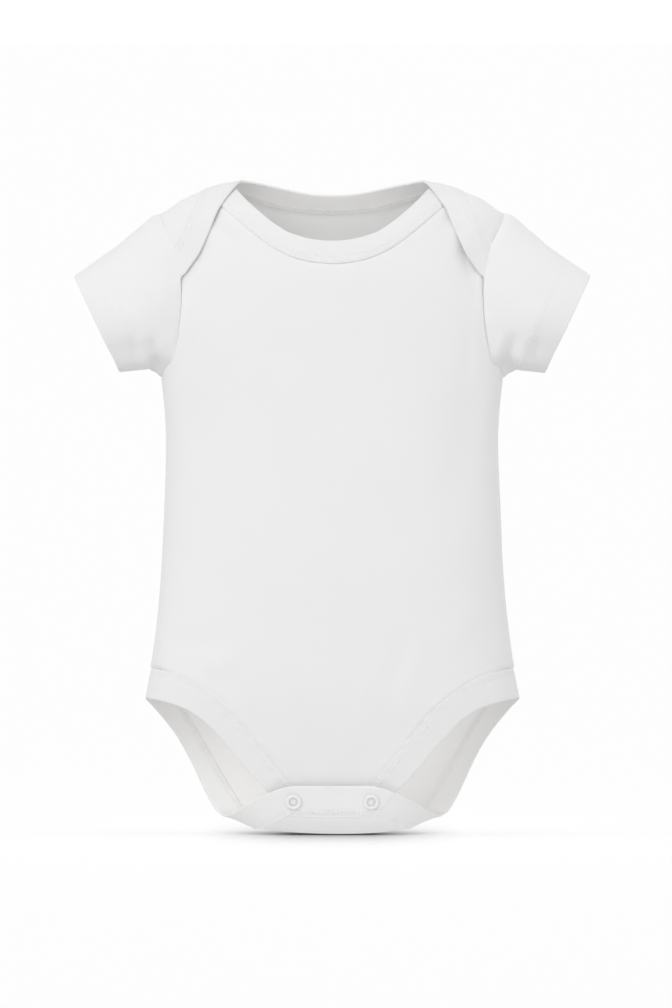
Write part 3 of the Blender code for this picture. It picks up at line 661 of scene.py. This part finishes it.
back = cut_pieces["back"]
shape_cloth(back, "back", [
    folds(BACK_FOLDS, facing=1),
    folds(LAP_FOLDS, facing=-1),
    waviness(height=0.8 * MM, spacing=58 * MM, seed=11.0),
    along_seam(SLEEVES, ARMHOLE_RIDGE),
    along_seam(["front"], SIDE_SEAM_GROOVE),
    along_seam(["neck_binding_back", "flap_band", *LEG_BINDINGS], BINDING_GROOVE, pucker=0.3 * MM),
])
finish_cloth(back, "back", jersey)


# ---- sleeves ----
# Short sleeves set into the armholes, each one piece closed by an underarm seam. The hem is turned in and
# stitched twice round, and the cloth gathers into small upright folds under the arm.

# the folds of each sleeve's front (-1) and back (1), with the same columns as the front's
SLEEVE_FOLDS = {
    "sleeve_left": [(-1, [
        (-137, 103, -117, 109, 7, -1.7), (-139, 96, -135, 118, 2.4, -0.8), (-131, 92, -129, 118, 2.6, 0.8),
        (-125, 96, -123, 118, 2.2, -0.9), (-119, 92, -117, 118, 2.4, 0.8), (-114, 97, -108, 119, 4, -3.0),
        (-105, 96, -103, 116, 3, 0.8), (-138, 82, -114, 88, 10, 1.0), (-104, 60, -112, 92, 6, 0.5),
        (-140, 62, -120, 80, 9, -0.5), (-118, 30, -104, 70, 8, -0.4)]),
        (1, [(-134, 70, -112, 100, 6, -0.7), (-120, 40, -106, 90, 7, 0.6), (-112, 92, -106, 118, 4, -1.4)])],
    "sleeve_right": [(-1, [
        (137, 103, 117, 109, 7, -1.7), (141, 96, 138, 118, 2.6, -0.8), (134, 92, 131, 117, 2.3, 0.8),
        (127, 96, 125, 118, 2.6, -0.9), (119, 92, 118, 118, 2.3, 0.8), (113, 95, 107, 119, 4, -2.9),
        (105, 96, 102, 116, 3, 0.8), (138, 82, 114, 88, 10, 1.0), (103, 58, 110, 92, 6, 0.5),
        (142, 58, 124, 78, 9, -0.5), (116, 34, 105, 74, 8, -0.4)]),
        (1, [(136, 74, 114, 102, 6, -0.7), (121, 44, 107, 92, 7, 0.6), (112, 90, 106, 118, 4, -1.4)])],
}
SLEEVE_SEAM = [(0, -0.34), (1.0, -0.1), (2.5, 0.06), (6, 0)]
SLEEVE_SEEDS = {"sleeve_left": 5.0, "sleeve_right": 23.0}
for solid_name in SLEEVES:
    sleeve = cut_pieces[solid_name]
    shape_cloth(sleeve, solid_name, [
        *(folds(table, facing) for facing, table in SLEEVE_FOLDS[solid_name]),
        waviness(height=0.7 * MM, spacing=45 * MM, seed=SLEEVE_SEEDS[solid_name]),
        along_seam(["front", "back"], SLEEVE_SEAM, pucker=0.25 * MM),
    ])
    finish_cloth(sleeve, solid_name, jersey)


# ---- bindings ----
# Folded strips over the raw edges: round the front and back of the neck, round each leg, and across the ends
# of the crotch flap and of the front. Their edge stands a thread's height above the panels.

# distance from a snap's middle and height of the band, which is pressed into the ring cap, in millimetres
CAP_DENT = [(0, 0.5), (1.6, 0.4), (2.4, -0.05), (3.4, -0.3), (4.8, -0.25), (5.6, 0.05), (6.4, -0.14),
            (7.4, -0.04), (9, 0)]
# the middle of each snap, and the direction out through it, which is the thinnest of its cap
snap_seats = {}
for side_name in ("left", "right"):
    corners = np.array([v.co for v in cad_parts["snap_cap_" + side_name].data.vertices])
    middle = corners.mean(axis=0)
    through = Vector(np.linalg.svd(corners - middle)[2][2])
    snap_seats[side_name] = (Vector(middle), through if through.y < 0 else -through)


def round_the_snaps(profile):
    """A lift that depends on the distance from the nearer snap's middle."""
    distances, heights = zip(*profile)

    def lift(points):
        away = []
        for centre, axis in snap_seats.values():
            offset = points - np.array(centre)
            away.append(np.linalg.norm(offset - np.outer(offset @ np.array(axis), axis), axis=1))
        return np.interp(np.min(away, axis=0) / MM, distances, heights) * MM
    return lift


# distance from the panels and height, in millimetres: low under the two rows of stitches, high beside them
BINDING_EDGE = [(0, -0.28), (0.6, 0.2), (1.3, -0.18), (2.1, 0.24), (3.1, 0.24), (3.9, -0.18), (4.8, 0.24),
                (9, 0.08), (14, 0)]
# the panels that each binding is sewn to, and the height of its puckers
BINDING_LIFTS = {
    "neck_binding_front": (["front"], 0.30 * MM),
    "neck_binding_back": (["back"], 0.30 * MM),
    "leg_binding_left": (["front", "back"], 0.42 * MM),
    "leg_binding_right": (["front", "back"], 0.42 * MM),
    "flap_band": (["back"], 0.35 * MM),
    "front_end_band": (["front"], 0.30 * MM),
}
FIRST_BINDING_SEED, NEXT_BINDING_SEED = 31.0, 7.0
for number, (solid_name, (panels, pucker)) in enumerate(BINDING_LIFTS.items()):
    binding = cut_pieces[solid_name]
    shape_cloth(binding, solid_name, [
        along_seam(panels, BINDING_EDGE, pucker=pucker, pucker_spacing=5 * MM, pucker_reach=12 * MM),
        waviness(height=0.35 * MM, spacing=24 * MM, seed=FIRST_BINDING_SEED + NEXT_BINDING_SEED * number),
        *([round_the_snaps(CAP_DENT)] if solid_name == "flap_band" else []),
        *([folds(LAP_FOLDS, facing=-1)] if solid_name == "neck_binding_back" else []),
    ])
    finish_cloth(binding, solid_name, fine_jersey)


# ---- sewing ----
# White cotton thread: two rows of straight stitches close together along every binding and round both hems.
# The looper thread crosses between them inside the bindings, and a broad crossed row runs along the flap.

THREAD_WHITE = (0.965, 0.965, 0.965, 1.0)
THREAD_ROUGHNESS, THREAD_SHEEN = 0.7, 0.2
PLY_SCALE, PLY_DISTORTION, PLY_DEPTH = 900.0, 2.0, 0.05 * MM
STITCH_LENGTH, STITCH_PITCH, THREAD_WIDTH = 2.1 * MM, 2.8 * MM, 0.5 * MM
# share along the stitch, share of the thread's width, and height over the cloth in thread widths
STITCH_SHAPE = [(-0.36, 0.85, 0.2), (0.0, 1.0, 0.42), (0.36, 0.85, 0.2)]
STITCH_END, STITCH_DIVE, THREAD_SIDES = 0.5, -0.45, 6
# the shares of a pitch that a row leaves free at its start and end, and that each stitch is lined up over
ROW_START, ROW_END, LINED_UP = 0.6, 0.4, 1 / 3
SHORTEST_RUN = 4 * MM
# a row skips a face over which its distance changes by more than this many times the face's size
STEEPEST_CHANGE = 2.5
# a point is beside a panel if it touches it, or if at most this share of its gap leads out of the cloth
TOUCHING, OUTWARD_SHARE, NOWHERE_NEAR = 0.35 * MM, 0.75, 1.0


def level_lines(piece, values, level, side):
    """The lines along which a value, given for every point of a wall, passes a level on one of its sides."""
    points = points_of(piece)
    places, links = {}, {}
    for polygon, polygon_side in zip(piece.data.polygons, sides_of(piece)):
        if polygon_side != side:
            continue
        corners = list(polygon.vertices)
        crossed = []
        for one, two in zip(corners, corners[1:] + corners[:1]):
            if (values[one] < level) != (values[two] < level):
                key = (min(one, two), max(one, two))
                share = (level - values[one]) / (values[two] - values[one])
                places[key] = (points[one] + share * (points[two] - points[one]), np.array(polygon.normal))
                crossed.append(key)
        reach = max(values[corner] for corner in corners) - min(values[corner] for corner in corners)
        if len(crossed) == 2 and reach < STEEPEST_CHANGE * math.sqrt(polygon.area):
            for one, two in (crossed, crossed[::-1]):
                links.setdefault(one, []).append(two)
    lines, used = [], set()
    for start in sorted(links, key=lambda key: (len(links[key]), key)):
        if start in used:
            continue
        line, here = [], start
        while here is not None:
            used.add(here)
            line.append(places[here])
            here = next((key for key in links[here] if key not in used), None)
        lines.append((np.array([place for place, _ in line]), np.array([normal for _, normal in line])))
    return lines


def away_from(piece, others):
    """How far each point of a wall lies, along the cloth, from the pieces that it is sewn to."""
    trees = [cut_trees[other] for other in others]
    outward = outward_of(piece)
    values = []
    for point, direction in zip(points_of(piece), outward):
        place = Vector(point)
        nearest, _, _, gap = min((tree.find_nearest(place) for tree in trees), key=lambda found: found[3])
        aside = abs((nearest - place).dot(Vector(direction)))
        values.append(gap if aside < OUTWARD_SHARE * gap or gap < TOUCHING else NOWHERE_NEAR)
    return np.array(values)


def stitch_shape():
    """The points and faces of a stitch along X: a rounded thread that dives into the cloth at both ends."""
    points = [(-STITCH_END, 0.0, STITCH_DIVE)]
    for along, width, height in STITCH_SHAPE:
        for corner in range(THREAD_SIDES):
            turn = math.tau * corner / THREAD_SIDES
            points.append((along, math.cos(turn) * width / 2, height + math.sin(turn) * width / 2))
    points.append((STITCH_END, 0.0, STITCH_DIVE))
    last = len(points) - 1
    faces = []
    for corner in range(THREAD_SIDES):
        beside = (corner + 1) % THREAD_SIDES
        faces.append((0, 1 + beside, 1 + corner))
        faces.append((last, last - THREAD_SIDES + corner, last - THREAD_SIDES + beside))
        for ring in range(len(STITCH_SHAPE) - 1):
            near, far = 1 + ring * THREAD_SIDES, 1 + (ring + 1) * THREAD_SIDES
            faces.append((near + corner, near + beside, far + beside, far + corner))
    return np.array(points), faces


def sew(name, rows, thread_width=THREAD_WIDTH):
    """One mesh of the stitches in some rows, each of lines of points, a pitch, a stitch length and a lean."""
    shape, shape_faces = stitch_shape()
    all_points, all_faces = [], []
    for lines, pitch, length, lean in rows:
        for points, normals in lines:
            run = np.concatenate([[0], np.cumsum(np.linalg.norm(np.diff(points, axis=0), axis=1))])
            if run[-1] < SHORTEST_RUN:
                continue
            for place in np.arange(pitch * ROW_START, run[-1] - pitch * ROW_END, pitch):
                ends = [np.array([np.interp(place + offset, run, points[:, axis]) for axis in range(3)])
                        for offset in (-pitch * LINED_UP, pitch * LINED_UP)]
                up = np.array([np.interp(place, run, normals[:, axis]) for axis in range(3)])
                up /= np.linalg.norm(up)
                along = ends[1] - ends[0]
                along -= up * along.dot(up)
                along /= np.linalg.norm(along)
                across = np.cross(up, along)
                along, across = (along * math.cos(lean) + across * math.sin(lean),
                                 across * math.cos(lean) - along * math.sin(lean))
                frame_rows = np.array([along * length, across * thread_width, up * thread_width])
                first = len(all_points) * len(shape)
                all_points.append((ends[0] + ends[1]) / 2 + shape @ frame_rows)
                all_faces += [tuple(first + corner for corner in face) for face in shape_faces]
    mesh = bpy.data.meshes.new(name)
    mesh.from_pydata(np.concatenate(all_points).tolist(), [], all_faces)
    mesh.shade_smooth()
    mesh.materials.append(thread)
    piece = bpy.data.objects.new(name, mesh)
    bpy.context.scene.collection.objects.link(piece)
    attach(piece, "root")
    return piece


thread = bpy.data.materials.new("white_thread")
thread.use_nodes = True
thread_shader = thread.node_tree.nodes["Principled BSDF"]
thread_shader.inputs["Base Color"].default_value = THREAD_WHITE
thread_shader.inputs["Roughness"].default_value = THREAD_ROUGHNESS
thread_shader.inputs["Sheen Weight"].default_value = THREAD_SHEEN
ply = node(thread.node_tree, "ShaderNodeTexWave", bands_direction="DIAGONAL")
ply.inputs["Scale"].default_value = PLY_SCALE
ply.inputs["Distortion"].default_value = PLY_DISTORTION
thread_place = node(thread.node_tree, "ShaderNodeTexCoord")
thread.node_tree.links.new(thread_place.outputs["Object"], ply.inputs["Vector"])
ply_bump = node(thread.node_tree, "ShaderNodeBump")
ply_bump.inputs["Distance"].default_value = PLY_DEPTH
thread.node_tree.links.new(ply.outputs[0], ply_bump.inputs["Height"])
thread.node_tree.links.new(ply_bump.outputs[0], thread_shader.inputs["Normal"])

# the two rows' distances from the panels, and the threads that cross between them
NEAR_ROW, FAR_ROW = 1.3 * MM, 3.9 * MM
LOOPER_PITCH, LOOPER_LEAN = 1.5 * MM, math.radians(62)
FLAP_ROW, FLAP_PITCH, FLAP_STITCH, FLAP_LEAN = 2.7 * MM, 1.8 * MM, 4.0 * MM, math.radians(78)
# the hem's rows, by their distance from the cuff
HEM_ROWS, HEM_THREAD_WIDTH = (17.4 * MM, 19.6 * MM), 0.4 * MM
for solid_name, (panels, _) in BINDING_LIFTS.items():
    piece = cut_pieces[solid_name]
    gaps = away_from(piece, panels)
    rows = []
    for side in (OUTER, INNER):
        for distance in (NEAR_ROW, FAR_ROW):
            rows.append((level_lines(piece, gaps, distance, side), STITCH_PITCH, STITCH_LENGTH, 0.0))
    middle = (NEAR_ROW + FAR_ROW) / 2
    rows.append((level_lines(piece, gaps, middle, INNER), LOOPER_PITCH, FAR_ROW - NEAR_ROW, LOOPER_LEAN))
    if solid_name == "flap_band":
        rows.append((level_lines(piece, gaps, FLAP_ROW, OUTER), FLAP_PITCH, FLAP_STITCH, FLAP_LEAN))
    sew("stitches_" + solid_name, rows)
for solid_name in SLEEVES:
    piece = cut_pieces[solid_name]
    from_cuff = np.array([past_cuff(point) for point in points_of(piece)])
    rows = [(level_lines(piece, from_cuff, distance, side), STITCH_PITCH, STITCH_LENGTH, 0.0)
            for side in (OUTER, INNER) for distance in HEM_ROWS]
    sew("stitches_" + solid_name, rows, HEM_THREAD_WIDTH)


# ---- snaps ----
# Two enamelled ring snaps close the flap. The cap is an open ring pressed round a small dome of the band's
# cloth, and its socket lies behind the band, over the stud and back ring that hold the front's end.

RING_OUTSIDE, RING_HOLE = 9.8 * MM, 5.4 * MM
RING_FLATNESS, RING_STEPS, RING_SIDES = 0.5, 64, 20
ENAMEL_WHITE = (0.9, 0.9, 0.9)
ENAMEL_ROUGHNESS, ENAMEL_COAT = 0.42, 0.08
SPECK_SCALE, DARKEST_SPECK = 260.0, 0.95

enamel = bpy.data.materials.new("white_enamel")
enamel.use_nodes = True
enamel_shader = enamel.node_tree.nodes["Principled BSDF"]
enamel_shader.inputs["Roughness"].default_value = ENAMEL_ROUGHNESS
enamel_shader.inputs["Coat Weight"].default_value = ENAMEL_COAT
specks = node(enamel.node_tree, "ShaderNodeTexNoise")
specks.inputs["Scale"].default_value = SPECK_SCALE
enamel_place = node(enamel.node_tree, "ShaderNodeTexCoord")
enamel.node_tree.links.new(enamel_place.outputs["Object"], specks.inputs["Vector"])
enamel_tone = node(enamel.node_tree, "ShaderNodeMapRange")
enamel_tone.inputs["To Min"].default_value = DARKEST_SPECK
enamel_colour = node(enamel.node_tree, "ShaderNodeVectorMath", operation="SCALE")
enamel_colour.inputs[0].default_value = ENAMEL_WHITE
enamel.node_tree.links.new(specks.outputs[0], enamel_tone.inputs["Value"])
enamel.node_tree.links.new(enamel_tone.outputs[0], enamel_colour.inputs["Scale"])
enamel.node_tree.links.new(enamel_colour.outputs[0], enamel_shader.inputs["Base Color"])

for side_name, (centre, axis) in snap_seats.items():
    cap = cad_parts["snap_cap_" + side_name]
    bpy.ops.object.select_all(action="DESELECT")
    bpy.ops.mesh.primitive_torus_add(
        mode="EXT_INT", major_segments=RING_STEPS, minor_segments=RING_SIDES,
        abso_major_rad=RING_OUTSIDE / 2, abso_minor_rad=RING_HOLE / 2)
    ring = bpy.context.object
    ring.name = "ring_" + side_name
    bpy.ops.object.mode_set(mode="EDIT")
    bpy.ops.transform.resize(value=(1, 1, RING_FLATNESS))
    bpy.ops.object.mode_set(mode="OBJECT")
    ring.data.transform(axis.to_track_quat("Z", "X").to_matrix().to_4x4())
    ring.data.transform(Matrix.Translation(centre))
    ring.data.shade_smooth()
    ring.data.materials.append(enamel)
    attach(ring, "root")
    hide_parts(cap.name)
    for part in ("socket", "stud", "ring"):
        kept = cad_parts[f"snap_{part}_{side_name}"]
        kept.data.materials.clear()
        kept.data.materials.append(enamel)
